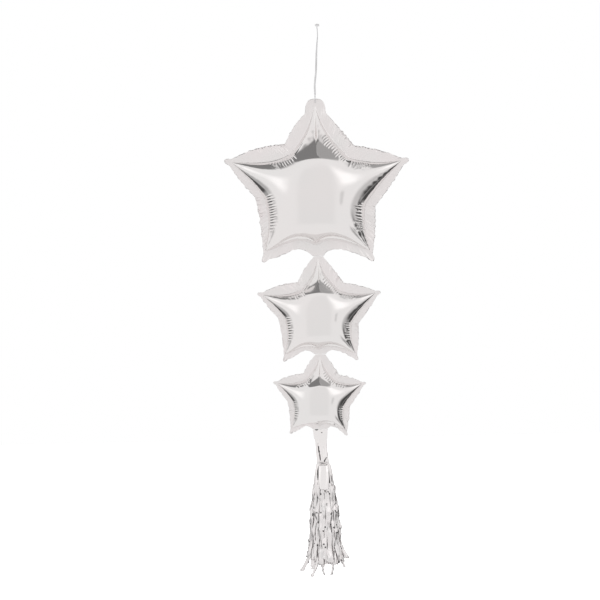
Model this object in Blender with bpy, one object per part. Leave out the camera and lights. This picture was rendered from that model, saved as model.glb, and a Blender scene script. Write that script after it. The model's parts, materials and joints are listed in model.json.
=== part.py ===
"""Hanging column of three star foil balloons with a foil tassel.

Metres, +Z up, X to the right and Y away from the viewer. The origin is the upper end of the
ribbon that the column hangs from. The column hangs on one vertical line, a little to the left of
the origin. Each star is a front and a back foil, two domed sheets with a flat rim.
"""

import math

import bmesh
import bpy
import numpy as np
from mathutils import Matrix, Vector

# Heights on the column, below the hang point
LINE_X = -0.0084
TIE_HOLE_Z = -0.1884
NECK_1_Z = -0.5568
NECK_2_Z = -0.7920
TAIL_Z = -0.9720
TASSEL_TOP_Z = -1.0420
TASSEL_WRAP_TOP_Z = -1.0540
TASSEL_WRAP_BOTTOM_Z = -1.1160
TASSEL_BOTTOM_Z = -1.3210

# Film
FOIL = 0.0005
FOIL_SPACING = 0.0003
FOLD_GAP = 0.0008
TOUCH = 0.0003

# Stars: name, height of the centre, arm length, lean in its own plane in degrees, length of the
# side arms and of the lower arms as a share of it, height of its upper end, width there, length of
# the straight tab there, height of its lower end, width there
STARS = (
    ("large_star", -0.3936, 0.2210, 0.0, 1.0, 1.0, TIE_HOLE_Z + 0.0085, 0.049, 0.034, NECK_1_Z, 0.027),
    ("medium_star", -0.6900, 0.1476, 0.5, 1.0, 1.0, NECK_1_Z, 0.027, 0.0, NECK_2_Z, 0.028),
    ("small_star", -0.8942, 0.1147, -0.5, 0.965, 1.03, NECK_2_Z, 0.028, 0.0, TAIL_Z, 0.038),
)

# A star's ten corners, anticlockwise from the top arm's tip: angle in degrees and distance from the
# centre, in arm lengths, of the seam, then of the film's outer edge
CORNERS = (
    (90.4, 0.900, 90.0, 1.000),
    (123.1, 0.471, 124.8, 0.592),
    (162.2, 0.972, 162.3, 1.015),
    (188.4, 0.582, 187.1, 0.681),
    (229.4, 0.890, 232.6, 0.963),
    (268.8, 0.628, 270.0, 0.700),
    (309.2, 0.900, 306.8, 0.969),
    (340.5, 0.553, 341.7, 0.664),
    (16.9, 0.972, 16.2, 1.012),
    (40.9, 0.476, 47.9, 0.614),
)
TOP_TIP = 0
LOWER_NOTCH = 5
SIDE_TIPS = (2, 8)
LOWER_TIPS = (4, 6)

# The edge after each of those corners, in arm lengths: how far its seam bows in, where between its
# ends that is deepest, how far the outer edge bows out, and where that is deepest
EDGES = (
    (0.037, 0.50, 0.020, 0.50),
    (0.065, 0.39, 0.035, 0.50),
    (0.013, 0.50, 0.012, 0.50),
    (0.042, 0.50, -0.015, 0.40),
    (0.076, 0.62, -0.085, 0.68),
    (0.076, 0.35, -0.080, 0.32),
    (0.030, 0.50, 0.014, 0.50),
    (0.016, 0.50, 0.010, 0.50),
    (0.036, 0.50, 0.020, 0.50),
    (0.055, 0.55, 0.005, 0.50),
)
EDGE_POINTS = 3
SEAM_CORNER = 0.012
RIM_NOTCH_SPREAD = 0.016
TIP_LOBE = 0.034
NECK_LENGTH = 0.004

# Film's shape: height against that of a membrane under even pressure, spacing of the points that
# the membrane is solved with, and rings between the crown and the seam
ROUNDNESS = 0.86
SOURCE_STEP = 0.025
SOURCE_OFFSET = 1.7
BODY_RADIUS = 0.50
RINGS = (0.30, 0.52, 0.70, 0.84, 0.93, 0.98, 1.0)
# Bend at the foot of the top arm, in arm lengths: where it begins and ends on the middle line, how
# far these fall towards the sides, how far to the sides it goes, and the share of height it leaves
FOLD_START = 0.305
FOLD_END = 0.509
FOLD_SAG = 0.75
FOLD_SLOPE = 0.81
FOLD_REACH = 0.24
FOLD_KEEP = 0.79

# Ribbon
RIBBON_WIDTH = 0.005
LOOP_RADIUS = 0.0085
LOOP_THICKNESS = 0.0020
# The tab's hole is a short upright slot, so that the tab can swing on the loop
HOLE_HALF_WIDTH = LOOP_THICKNESS / 2 + TOUCH
HOLE_HALF_HEIGHT = 0.0026
KNOT_RADIUS = 0.0040
KNOT_HEIGHT = 0.0070
TOP_KNOT_RADIUS = 0.0055
TOP_KNOT_HEIGHT = 0.0060
# Route of the ribbon: x, y, z of points chosen by hand, from the upper knot to the tie
RIBBON_ROUTE = (
    (0.0006, 0.0, -0.0160),
    (0.0008, 0.0, -0.0300),
    (-0.0010, 0.0, -0.0480),
    (-0.0028, 0.0, -0.0720),
    (-0.0040, 0.0, -0.0960),
    (-0.0052, 0.0, -0.1160),
    (-0.0078, 0.0, -0.1380),
    (-0.0086, 0.0, -0.1520),
)
RIBBON_POINTS = 18
RIBBON_STUB = 0.003

# Tassel
TAIL_WIDTHS = ((0.0, 0.038), (0.35, 0.031), (0.70, 0.029), (1.0, 0.026))
HEAD_RADIUS = 0.0185
HEAD_TOP_RADIUS = 0.0150
FRINGE_FILM = 0.0010
WRAP_FILM = 0.0012
STRIPS = 9
BAND_SIDES = 2 * STRIPS
# Fringe sheets: name, radius halfway down, radius at the tips, height of the tips, sides turned by
FRINGES = (
    ("tassel_fringe_inner", 0.0120, 0.0140, TASSEL_BOTTOM_Z + 0.006, 0),
    ("tassel_fringe_middle", 0.0250, 0.0290, TASSEL_BOTTOM_Z, 1),
    ("tassel_fringe_outer", 0.0365, 0.0435, TASSEL_BOTTOM_Z + 0.010, 0),
)
STRIP_LEVELS = (0.08, 0.25, 0.45, 0.65, 0.85, 1.0)

# Colours: name, colour, roughness, metallic
FINISHES = {
    "silver_film": ((0.86, 0.84, 0.83, 1.0), 0.12, 1.0),
    "tassel_foil": ((0.80, 0.79, 0.79, 1.0), 0.18, 1.0),
    "ribbon_grey": ((0.62, 0.62, 0.63, 1.0), 0.40, 0.3),
}


def clear_scene():
    for obj in list(bpy.data.objects):
        bpy.data.objects.remove(obj, do_unlink=True)


def material(name):
    found = bpy.data.materials.get(name)
    if found:
        return found
    colour, roughness, metallic = FINISHES[name]
    made = bpy.data.materials.new(name)
    made.use_nodes = True
    shader = made.node_tree.nodes["Principled BSDF"]
    shader.inputs["Base Color"].default_value = colour
    shader.inputs["Roughness"].default_value = roughness
    shader.inputs["Metallic"].default_value = metallic
    return made


def add_object(name, mesh, finish, parent=None):
    obj = bpy.data.objects.new(name, mesh)
    bpy.context.scene.collection.objects.link(obj)
    mesh.materials.append(material(finish))
    if parent:
        obj.parent = parent
        obj.matrix_parent_inverse = parent.matrix_world.inverted()
    return obj


def add_pivot(name, place, parent=None):
    """An empty on a joint's axis. What moves with the joint is parented to it."""
    pivot = bpy.data.objects.new(name, None)
    pivot.empty_display_size = 0.02
    bpy.context.scene.collection.objects.link(pivot)
    if parent:
        pivot.parent = parent
        pivot.matrix_parent_inverse = parent.matrix_world.inverted()
    pivot.matrix_world = Matrix.Translation(place)
    bpy.context.view_layer.update()
    return pivot


def mesh_from(name, points, faces, smooth_angle=35.0):
    mesh = bpy.data.meshes.new(name)
    mesh.from_pydata([tuple(p) for p in points], [], faces)
    edit = bmesh.new()
    edit.from_mesh(mesh)
    bmesh.ops.recalc_face_normals(edit, faces=edit.faces)
    edit.to_mesh(mesh)
    edit.free()
    mesh.shade_smooth()
    mesh.set_sharp_from_angle(angle=math.radians(smooth_angle))
    return mesh


# Star foils


def on_circle(degrees, radius):
    turn = math.radians(degrees)
    return Vector((radius * math.cos(turn), radius * math.sin(turn)))


def is_tip(number):
    return number % 2 == 0


def corner(degrees, radius, half_width, setback, number):
    """Points anticlockwise across a corner: five round a tip, and three across a notch."""
    middle = on_circle(degrees, radius)
    across = on_circle(degrees + 90.0, half_width)
    back = on_circle(degrees, setback)
    turns = (-90.0, -35.0, 0.0, 35.0, 90.0) if is_tip(number) else (-90.0, 0.0, 90.0)
    points = []
    for turn in turns:
        angle = math.radians(turn)
        points.append(middle + across * math.sin(angle) - back * (1.0 - math.cos(angle)))
    return points


def edge_between(start, end, bow, deepest):
    """Points between two corners, bowed outwards by bow, or inwards where it is negative."""
    run = end - start
    outward = Vector((run.y, -run.x)).normalized()
    power = math.log(0.5) / math.log(deepest)
    found = []
    for step in range(1, EDGE_POINTS + 1):
        share = step / (EDGE_POINTS + 1)
        found.append(start + run * share + outward * bow * math.sin(math.pi * share**power))
    return found


def closed_outline(corners, bows):
    """Closed outline around the centre, anticlockwise: corners and the bowed edges after them."""
    outline = []
    for number, points in enumerate(corners):
        following = corners[(number + 1) % len(corners)]
        outline += points
        outline += edge_between(points[-1], following[0], *bows[number])
    return outline


def arm_factor(number, side_arm, lower_arm):
    if number in SIDE_TIPS:
        return side_arm
    if number in LOWER_TIPS:
        return lower_arm
    return 1.0


def seam_outline(arm, lean, side_arm, lower_arm, upper):
    """The seam, which ends short of the star's upper end."""
    corners = []
    for number, (angle, reach, _, _) in enumerate(CORNERS):
        if number not in (TOP_TIP, LOWER_NOTCH):
            angle += lean
        radius = arm * reach * arm_factor(number, side_arm, lower_arm)
        if number == TOP_TIP:
            radius = min(radius, upper[0] - NECK_LENGTH)
        spread = SEAM_CORNER * arm
        corners.append(corner(angle, radius, spread, spread if is_tip(number) else 0.0, number))
    return closed_outline(corners, [(-bow * arm, deepest) for bow, deepest, _, _ in EDGES])


def rim_outline(arm, lean, side_arm, lower_arm, upper, lower):
    """upper is (distance from the centre, width, tab length), and lower (distance, width)."""
    corners = []
    for number, (_, _, angle, reach) in enumerate(CORNERS):
        if number == TOP_TIP:
            corners.append(corner(90.0, upper[0], upper[1] / 2, upper[2], number))
            continue
        if number == LOWER_NOTCH:
            corners.append(corner(270.0, lower[0], lower[1] / 2, 0.0, number))
            continue
        radius = arm * reach * arm_factor(number, side_arm, lower_arm)
        if is_tip(number):
            lobe = TIP_LOBE * arm
            corners.append(corner(angle + lean, radius + lobe, lobe, 1.9 * lobe, number))
        else:
            corners.append(corner(angle + lean, radius, RIM_NOTCH_SPREAD * arm, 0.0, number))
    return closed_outline(corners, [(bow * arm, deepest) for _, _, bow, deepest in EDGES])


def spaced(line, step):
    """Points at even steps along a closed line, with the outward direction at each."""
    closed = np.vstack([line, line[:1]])
    lengths = np.linalg.norm(np.diff(closed, axis=0), axis=1)
    place = np.concatenate([[0.0], np.cumsum(lengths)])
    at = np.linspace(0.0, place[-1], int(place[-1] / step), endpoint=False)
    points = np.column_stack([np.interp(at, place, closed[:, axis]) for axis in (0, 1)])
    run = np.roll(points, -1, axis=0) - np.roll(points, 1, axis=0)
    run /= np.linalg.norm(run, axis=1)[:, None]
    return points, np.column_stack([run[:, 1], -run[:, 0]])


def membrane_heights(seam, arm, places):
    """Height at each place of a membrane that the seam holds and even pressure lifts.

    The membrane's equation is solved with sources around the seam. A long arm comes out round,
    and a wide body flatter.
    """
    line = np.array([tuple(place) for place in seam])
    step = SOURCE_STEP * arm
    sources, outward = spaced(line, step)
    sources = sources + outward * step * SOURCE_OFFSET
    tests, _ = spaced(line, step / 3.0)

    def kernel(spots):
        gaps = np.linalg.norm(spots[:, None, :] - sources[None, :, :], axis=2)
        return np.hstack([np.log(gaps), np.ones((len(spots), 1))])

    wanted = np.sum(tests**2, axis=1) / 4
    strength = np.linalg.lstsq(kernel(tests), wanted, rcond=1e-9)[0]
    spots = np.array([tuple(place) for place in places])
    lift = kernel(spots) @ strength - np.sum(spots**2, axis=1) / 4
    return np.sqrt(2.0 * np.maximum(lift, 0.0))


def arm_bend(place, arm):
    """Share of the height that is left where the top arm bends forward at its foot."""
    aside = abs(place.x) / arm
    if aside > FOLD_REACH:
        return 1.0
    lower = FOLD_START - FOLD_SAG * aside**2
    upper = max(FOLD_END - FOLD_SLOPE * aside, lower + 0.03)
    bent = (place.y / arm - lower) / (upper - lower)
    fade = 1.0 - (aside / FOLD_REACH) ** 2
    return 1.0 - (1.0 - FOLD_KEEP) * min(max(bent, 0.0), 1.0) * fade


def foil_sheet(centre_z, arm, seam, rim, side):
    """The outer face of one foil: rings from the crown out to the seam, then the flat rim."""
    flat = FOIL + FOIL_SPACING / 2
    places = [Vector((0.0, 0.0))]
    for share in RINGS:
        star_share = share**1.5
        for place in seam:
            reach = place.length
            radius = share * (star_share * reach + (1.0 - star_share) * BODY_RADIUS * arm)
            places.append(place * (radius / reach))
    heights = membrane_heights(seam, arm, places)
    count = len(seam)
    heights[-count:] = 0.0
    points = []
    for place, height in zip(places, heights):
        lift = flat + ROUNDNESS * float(height) * arm_bend(place, arm)
        points.append(Vector((LINE_X + place.x, side * lift, centre_z + place.y)))
    for place in rim:
        points.append(Vector((LINE_X + place.x, side * flat, centre_z + place.y)))
    faces = []
    for number in range(count):
        following = (number + 1) % count
        faces.append((0, 1 + number, 1 + following))
        for ring in range(len(RINGS)):
            inner = 1 + ring * count
            outer = inner + count
            faces.append((inner + number, outer + number, outer + following, inner + following))
    return points, faces


def face_outward(mesh, side):
    """Turns the open sheet's faces away from the inside of the balloon."""
    edit = bmesh.new()
    edit.from_mesh(mesh)
    bmesh.ops.recalc_face_normals(edit, faces=edit.faces)
    edit.faces.ensure_lookup_table()
    if edit.faces[0].normal.y * side < 0:
        bmesh.ops.reverse_faces(edit, faces=edit.faces)
    edit.to_mesh(mesh)
    edit.free()


def slot_cutter(name, place, half_width, half_height, length):
    cutter_mesh = bpy.data.meshes.new(name)
    edit = bmesh.new()
    bmesh.ops.create_cone(edit, cap_ends=True, segments=12, radius1=1.0, radius2=1.0, depth=length)
    bmesh.ops.scale(edit, verts=edit.verts, vec=(half_width, half_height, 1.0))
    bmesh.ops.rotate(edit, verts=edit.verts, matrix=Matrix.Rotation(math.pi / 2, 3, "X"))
    bmesh.ops.translate(edit, verts=edit.verts, vec=place)
    bmesh.ops.recalc_face_normals(edit, faces=edit.faces)
    edit.to_mesh(cutter_mesh)
    edit.free()
    cutter = bpy.data.objects.new(name, cutter_mesh)
    bpy.context.scene.collection.objects.link(cutter)
    cutter.hide_render = True
    cutter.display_type = "WIRE"
    return cutter


def star_foils(star, pivot):
    name, centre_z, arm, lean, side_arm, lower_arm, top_z, top_width, tab, bottom_z, bottom_width = star
    fold_gap = 0.0 if tab else FOLD_GAP / 2
    upper = (top_z - fold_gap - centre_z, top_width, tab)
    lower = (centre_z - bottom_z - FOLD_GAP / 2, bottom_width)
    seam = seam_outline(arm, lean, side_arm, lower_arm, upper)
    rim = rim_outline(arm, lean, side_arm, lower_arm, upper, lower)
    foils = []
    for label, side in (("front", -1.0), ("back", 1.0)):
        points, faces = foil_sheet(centre_z, arm, seam, rim, side)
        mesh = bpy.data.meshes.new(f"{name}_{label}_foil")
        mesh.from_pydata([tuple(p) for p in points], [], faces)
        face_outward(mesh, side)
        mesh.shade_smooth()
        mesh.set_sharp_from_angle(angle=math.radians(35.0))
        foil = add_object(f"{name}_{label}_foil", mesh, "silver_film", pivot)
        skin = foil.modifiers.new("film", "SOLIDIFY")
        skin.thickness = FOIL
        skin.offset = -1.0
        foils.append(foil)
    return foils


# Ribbon


def smooth_route(points, count):
    """Evenly numbered points on a Catmull-Rom curve through the given ones."""
    places = [Vector(p) for p in points]
    places = [places[0] * 2 - places[1]] + places + [places[-1] * 2 - places[-2]]
    spans = len(places) - 3
    found = []
    for number in range(count):
        position = number * spans / (count - 1)
        span = min(int(position), spans - 1)
        t = position - span
        a, b, c, d = places[span : span + 4]
        found.append(
            0.5
            * (
                2 * b
                + (c - a) * t
                + (2 * a - 5 * b + 4 * c - d) * t * t
                + (3 * b - a - 3 * c + d) * t * t * t
            )
        )
    return found


def tube_along(name, points, radius, finish, parent):
    curve = bpy.data.curves.new(name, "CURVE")
    curve.dimensions = "3D"
    curve.bevel_depth = radius
    curve.bevel_resolution = 2
    curve.use_fill_caps = True
    spline = curve.splines.new("POLY")
    spline.points.add(len(points) - 1)
    for point, place in zip(spline.points, points):
        point.co = (*place, 1.0)
    obj = bpy.data.objects.new(name, curve)
    bpy.context.scene.collection.objects.link(obj)
    curve.materials.append(material(finish))
    if parent:
        obj.parent = parent
        obj.matrix_parent_inverse = parent.matrix_world.inverted()
    return obj


def turned(name, profile, centre, segments, finish, parent=None):
    """A solid turned about a vertical line: profile holds (radius, height), from top to bottom."""
    points = []
    for radius, height in profile:
        for step in range(segments):
            turn = 2 * math.pi * step / segments
            points.append(
                Vector((centre[0] + radius * math.cos(turn), centre[1] + radius * math.sin(turn), height))
            )
    faces = [tuple(range(segments))]
    for level in range(len(profile) - 1):
        first = level * segments
        for step in range(segments):
            following = (step + 1) % segments
            faces.append(
                (first + step, first + segments + step, first + segments + following, first + following)
            )
    last = (len(profile) - 1) * segments
    faces.append(tuple(last + step for step in reversed(range(segments))))
    return add_object(name, mesh_from(name, points, faces), finish, parent)


def knot(name, centre_x, middle_z, radius, height, finish, parent=None):
    profile = []
    for share, width in ((0.5, 0.55), (0.32, 0.9), (0.0, 1.0), (-0.32, 0.9), (-0.5, 0.55)):
        profile.append((radius * width, middle_z + share * height))
    return turned(name, profile, (centre_x, 0.0), 12, finish, parent)


def tie_loop(parent):
    """A ring of ribbon through the tab's hole, in the plane across the foil."""
    mesh = bpy.data.meshes.new("tie_loop")
    around = 28
    section = 8
    centre_z = TIE_HOLE_Z + LOOP_RADIUS
    points = []
    for step in range(around):
        turn = 2 * math.pi * step / around
        for part in range(section):
            tilt = 2 * math.pi * part / section
            radius = LOOP_RADIUS + LOOP_THICKNESS / 2 * math.cos(tilt)
            points.append(
                Vector(
                    (
                        LINE_X + LOOP_THICKNESS / 2 * math.sin(tilt),
                        radius * math.sin(turn),
                        centre_z - radius * math.cos(turn),
                    )
                )
            )
    faces = []
    for step in range(around):
        for part in range(section):
            a = step * section + part
            b = step * section + (part + 1) % section
            c = ((step + 1) % around) * section + (part + 1) % section
            d = ((step + 1) % around) * section + part
            faces.append((a, b, c, d))
    mesh = mesh_from("tie_loop", points, faces)
    return add_object("tie_loop", mesh, "ribbon_grey", parent)


# Tassel


def tassel_tail(parent):
    """Flat strap of film, wide at the star and narrow where it enters the head."""
    top = TAIL_Z - FOLD_GAP / 2
    bottom = TASSEL_TOP_Z + TOUCH
    half = FOIL + FOIL_SPACING / 2
    points = []
    for share, width in TAIL_WIDTHS:
        height = top + (bottom - top) * share
        for x, y in ((-width / 2, -half), (width / 2, -half), (width / 2, half), (-width / 2, half)):
            points.append(Vector((LINE_X + x, y, height)))
    faces = [(0, 1, 2, 3)]
    for level in range(len(TAIL_WIDTHS) - 1):
        first = level * 4
        for step in range(4):
            following = (step + 1) % 4
            faces.append((first + step, first + 4 + step, first + 4 + following, first + following))
    last = (len(TAIL_WIDTHS) - 1) * 4
    faces.append((last + 3, last + 2, last + 1, last))
    return add_object("tassel_tail", mesh_from("tassel_tail", points, faces), "silver_film", parent)


def fringe(name, band_radius, middle_radius, tip_radius, tip_z, turned_sides, parent):
    """A rolled sheet: an uncut band around the head, and strips that hang from it and spread."""
    sectors = BAND_SIDES
    turn = turned_sides * 360.0 / BAND_SIDES
    inner_band = band_radius
    outer_band = band_radius + FRINGE_FILM
    top = TASSEL_WRAP_TOP_Z - TOUCH
    foot = TASSEL_WRAP_BOTTOM_Z
    points = []

    def ring_point(sector, radius, height):
        angle = math.radians(turn) + 2 * math.pi * sector / sectors
        points.append(Vector((LINE_X + radius * math.cos(angle), radius * math.sin(angle), height)))
        return len(points) - 1

    upper_out = [ring_point(s, outer_band, top) for s in range(sectors)]
    upper_in = [ring_point(s, inner_band, top) for s in range(sectors)]
    lower_out = [ring_point(s, outer_band, foot) for s in range(sectors)]
    lower_in = [ring_point(s, inner_band, foot) for s in range(sectors)]
    faces = []
    for s in range(sectors):
        n = (s + 1) % sectors
        faces.append((upper_out[s], lower_out[s], lower_out[n], upper_out[n]))
        faces.append((upper_in[s], upper_in[n], lower_in[n], lower_in[s]))
        faces.append((upper_out[s], upper_out[n], upper_in[n], upper_in[s]))
        if s % 2:
            faces.append((lower_out[s], lower_in[s], lower_in[n], lower_out[n]))
            continue
        section = [lower_out[s], lower_out[n], lower_in[n], lower_in[s]]
        angle = math.radians(turn) + 2 * math.pi * (s + 0.5) / sectors
        outward = Vector((math.cos(angle), math.sin(angle), 0.0))
        home = outward * (band_radius + FRINGE_FILM / 2)
        for share in STRIP_LEVELS:
            spread = strip_radius(share, band_radius + FRINGE_FILM / 2, middle_radius, tip_radius)
            height = foot + (tip_z - foot) * share
            shift = outward * spread - home
            lowered = []
            for index in (lower_out[s], lower_out[n], lower_in[n], lower_in[s]):
                start = points[index]
                points.append(Vector((start.x + shift.x, start.y + shift.y, height)))
                lowered.append(len(points) - 1)
            for side in range(4):
                following = (side + 1) % 4
                faces.append((section[side], lowered[side], lowered[following], section[following]))
            section = lowered
        faces.append(tuple(section))
    return add_object(name, mesh_from(name, points, faces), "tassel_foil", parent)


def strip_radius(share, start, middle, end):
    """Distance of a strip from the tassel's middle line: a curve through start, middle and end."""
    return start * (1 - share) * (1 - 2 * share) + 4 * middle * share * (1 - share) + end * share * (2 * share - 1)


def tassel(pivot):
    tassel_tail(pivot)
    core = (
        (HEAD_TOP_RADIUS, TASSEL_TOP_Z),
        (HEAD_RADIUS + 0.003, TASSEL_TOP_Z - 0.006),
        (HEAD_RADIUS + 0.003, TASSEL_WRAP_TOP_Z + TOUCH),
        (HEAD_RADIUS, TASSEL_WRAP_TOP_Z),
        (HEAD_RADIUS, TASSEL_WRAP_BOTTOM_Z + 0.004),
        (HEAD_RADIUS * 0.5, TASSEL_WRAP_BOTTOM_Z),
    )
    turned("tassel_head", core, (LINE_X, 0.0), BAND_SIDES, "tassel_foil", pivot)
    band = HEAD_RADIUS + TOUCH
    for name, middle_radius, tip_radius, tip_z, turned_sides in FRINGES:
        fringe(name, band, middle_radius, tip_radius, tip_z, turned_sides, pivot)
        band += FRINGE_FILM + TOUCH
    wrap_band(band, pivot)


def wrap_band(inner, pivot):
    segments = BAND_SIDES
    outer = inner + WRAP_FILM
    top = TASSEL_WRAP_TOP_Z - TOUCH
    bottom = TASSEL_WRAP_BOTTOM_Z + TOUCH
    rings = ((outer, top), (outer, bottom), (inner, bottom), (inner, top))
    points = []
    for radius, height in rings:
        for step in range(segments):
            turn = 2 * math.pi * step / segments
            points.append(Vector((LINE_X + radius * math.cos(turn), radius * math.sin(turn), height)))
    faces = []
    for level in range(4):
        first = level * segments
        second = ((level + 1) % 4) * segments
        for step in range(segments):
            following = (step + 1) % segments
            faces.append((first + step, second + step, second + following, first + following))
    add_object("tassel_wrap", mesh_from("tassel_wrap", points, faces), "tassel_foil", pivot)


def main():
    clear_scene()
    hang = add_pivot("hang_point", (0.0, 0.0, 0.0))
    loop_top = TIE_HOLE_Z + 2 * LOOP_RADIUS + LOOP_THICKNESS / 2
    knot_middle = loop_top + TOUCH + KNOT_HEIGHT / 2
    knot_top = knot_middle + KNOT_HEIGHT / 2
    twist = add_pivot("twist_pivot", (LINE_X, 0.0, knot_top), hang)
    swing = add_pivot("swing_pivot", (LINE_X, 0.0, TIE_HOLE_Z), twist)
    fold_1 = add_pivot("medium_star_pivot", (LINE_X, 0.0, NECK_1_Z), swing)
    fold_2 = add_pivot("small_star_pivot", (LINE_X, 0.0, NECK_2_Z), fold_1)
    fold_3 = add_pivot("tassel_pivot", (LINE_X, 0.0, TAIL_Z), fold_2)

    knot("ribbon_top_knot", 0.0, -TOP_KNOT_HEIGHT / 2, TOP_KNOT_RADIUS, TOP_KNOT_HEIGHT, "ribbon_grey", hang)
    start = (0.0, 0.0, -TOP_KNOT_HEIGHT - TOUCH)
    end = (LINE_X, 0.0, knot_top + TOUCH)
    below_start = (start[0], 0.0, start[2] - RIBBON_STUB)
    above_end = (end[0], 0.0, end[2] + RIBBON_STUB)
    route = [start, *smooth_route((below_start, *RIBBON_ROUTE, above_end), RIBBON_POINTS), end]
    tube_along("hanging_ribbon", route, RIBBON_WIDTH / 2, "ribbon_grey", hang)
    knot("tie_knot", LINE_X, knot_middle, KNOT_RADIUS, KNOT_HEIGHT, "ribbon_grey", twist)
    tie_loop(twist)

    for star, pivot in zip(STARS, (swing, fold_1, fold_2)):
        foils = star_foils(star, pivot)
        if pivot is swing:
            hole_place = (LINE_X, 0.0, TIE_HOLE_Z)
            cutter = slot_cutter("tab_hole", hole_place, HOLE_HALF_WIDTH, HOLE_HALF_HEIGHT, 0.02)
            for foil in foils:
                hole = foil.modifiers.new("tab hole", "BOOLEAN")
                hole.object = cutter
                hole.operation = "DIFFERENCE"
    tassel(fold_3)


main()
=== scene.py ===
"""Looks of the hanging column of star foil balloons: inflated film, ribbon, tassel and studio.

Metres, +Z up, and the camera looks along +Y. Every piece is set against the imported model.
"""

import json
from collections import namedtuple
from math import copysign, cos, exp, hypot, log, pi, radians, sin, sqrt

import bmesh
import bpy
import numpy as np
from mathutils import Matrix, Vector


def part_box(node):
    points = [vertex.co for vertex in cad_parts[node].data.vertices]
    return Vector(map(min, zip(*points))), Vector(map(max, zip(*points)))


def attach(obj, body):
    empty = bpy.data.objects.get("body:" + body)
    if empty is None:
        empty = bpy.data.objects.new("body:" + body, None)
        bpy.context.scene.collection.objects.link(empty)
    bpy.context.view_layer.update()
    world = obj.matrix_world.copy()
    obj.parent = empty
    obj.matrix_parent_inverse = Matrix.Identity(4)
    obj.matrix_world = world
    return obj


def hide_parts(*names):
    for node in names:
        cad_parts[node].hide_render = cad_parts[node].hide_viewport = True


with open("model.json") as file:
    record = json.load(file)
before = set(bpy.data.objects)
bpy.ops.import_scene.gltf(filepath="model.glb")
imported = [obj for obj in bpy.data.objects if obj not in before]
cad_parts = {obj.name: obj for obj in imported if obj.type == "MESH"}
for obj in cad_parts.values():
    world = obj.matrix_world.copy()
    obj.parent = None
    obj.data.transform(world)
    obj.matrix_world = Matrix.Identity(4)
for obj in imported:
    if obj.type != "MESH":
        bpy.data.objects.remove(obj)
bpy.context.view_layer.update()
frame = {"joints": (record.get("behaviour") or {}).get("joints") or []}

JOINT_Z = {joint["name"]: joint["pos_m"][2] for joint in frame["joints"]}
LINE_X = frame["joints"][0]["pos_m"][0]
HOLE_Z = JOINT_Z["column_swing"]

# Photograph's framing, with the camera's roll in degrees, and the floor below the column
METRES_PER_PIXEL = 0.0024
FRAME_PIXELS = 600
FRAME_CENTRE_X, FRAME_CENTRE_Z = -0.0544, -0.6614
COLUMN_LEAN = 1.17
CAMERA_DISTANCE = 4.0
SENSOR_MM = 36.0
FLOOR_Z = -1.50
FLOOR_SIDE = 12.0

# Film's thickness, its distance from the middle plane, and the slit between a neck's two halves
FILM = 0.0003
SEAT = 0.0002
FOLD_GAP = 0.0008

# Leans are in degrees, side_arm, lower_arm and fold_drop in arm lengths, and aside is how far the
# centre hangs to the side of the column
Star = namedtuple(
    "Star",
    "name centre_z arm lean lower_lean side_arm lower_arm"
    " upper_joint upper_width lower_joint lower_width aside fold_drop rim_seed film_seed",
)
LARGE_ARM = 0.221
STARS = (
    Star(
        "large_star", -0.3936, LARGE_ARM, 0.0, 0.0, 1.0, 1.0,
        None, 0.049, "medium_star_fold", 0.027, 0.0, 0.0, 100, 200,
    ),
    Star(
        "medium_star", -0.69, 0.1476, 0.5, 0.5, 1.0, 1.0,
        "medium_star_fold", 0.027, "small_star_fold", 0.028, 0.0, 0.0, 120, 300,
    ),
    Star(
        "small_star", -0.8942, 0.1147, -0.8, -2.4, 0.965, 0.99,
        "small_star_fold", 0.028, "tassel_fold", 0.036, -0.0038, 0.075, 140, 400,
    ),
)
TAB_ABOVE_HOLE = 0.0092
TAB_HOLE_RADIUS = 0.0026
TAB_LENGTH = 0.034
TAB_SQUARENESS = 0.72
NECK_LENGTH = 0.004
# How far from a neck's fold and from the tab's hole the rim is kept still, and how far aside
STILL_NECK = 0.018
STILL_TAB = 0.022
STILL_ASIDE = 0.03

# A star's ten corners, anticlockwise from the top arm's tip: angle in degrees and reach, in arm
# lengths, of the seam, then of the film's outer edge
CORNERS = (
    (90.4, 0.9, 90.0, 1.0),
    (123.1, 0.471, 124.8, 0.592),
    (162.2, 0.972, 162.3, 1.015),
    (188.4, 0.582, 187.1, 0.681),
    (229.4, 0.89, 232.6, 0.963),
    (268.8, 0.628, 270.0, 0.7),
    (309.2, 0.9, 306.8, 0.969),
    (340.5, 0.553, 341.7, 0.664),
    (16.9, 0.972, 16.2, 1.012),
    (40.9, 0.476, 47.9, 0.614),
)
TOP_TIP = 0
LOWER_NOTCH = 5
SIDE_TIPS = (2, 8)
LOWER_TIPS = (4, 6)

# The edge after each of those corners: how far its seam bows in, in arm lengths, where between tip
# and notch that is deepest, the share of it, from the notch, that is pleated, how far the outer
# edge bows out, and where that is deepest
EDGES = (
    (0.037, 0.5, 0.0, 0.02, 0.5),
    (0.065, 0.61, 0.44, 0.035, 0.5),
    (0.013, 0.5, 0.0, 0.012, 0.5),
    (0.042, 0.5, 0.68, -0.015, 0.6),
    (0.076, 0.62, 0.0, -0.085, 0.68),
    (0.076, 0.65, 0.0, -0.08, 0.68),
    (0.03, 0.5, 0.62, 0.014, 0.5),
    (0.016, 0.5, 0.0, 0.01, 0.5),
    (0.036, 0.5, 0.42, 0.02, 0.5),
    (0.055, 0.45, 0.56, 0.005, 0.5),
)
Edge = namedtuple("Edge", "start end bow deepest shares pleated length")

# Outline, with a lobe at each tip in arm lengths. Waves are their height, number, and lowest and
# highest frequency
TIP_LOBE = 0.034
LOBE_LENGTH = 0.9
NOTCH_SOFTENING = 0.006
SOFTENING_SAMPLES = 9
SCALLOPS = (0.0009, 6, 25.0, 90.0)
COARSE_STEP = 0.003
FINE_STEP = 0.0007
FINE_MARGIN = 1.08
TIP_STEP = 0.0012
TIP_ZONE = 0.01

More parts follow.
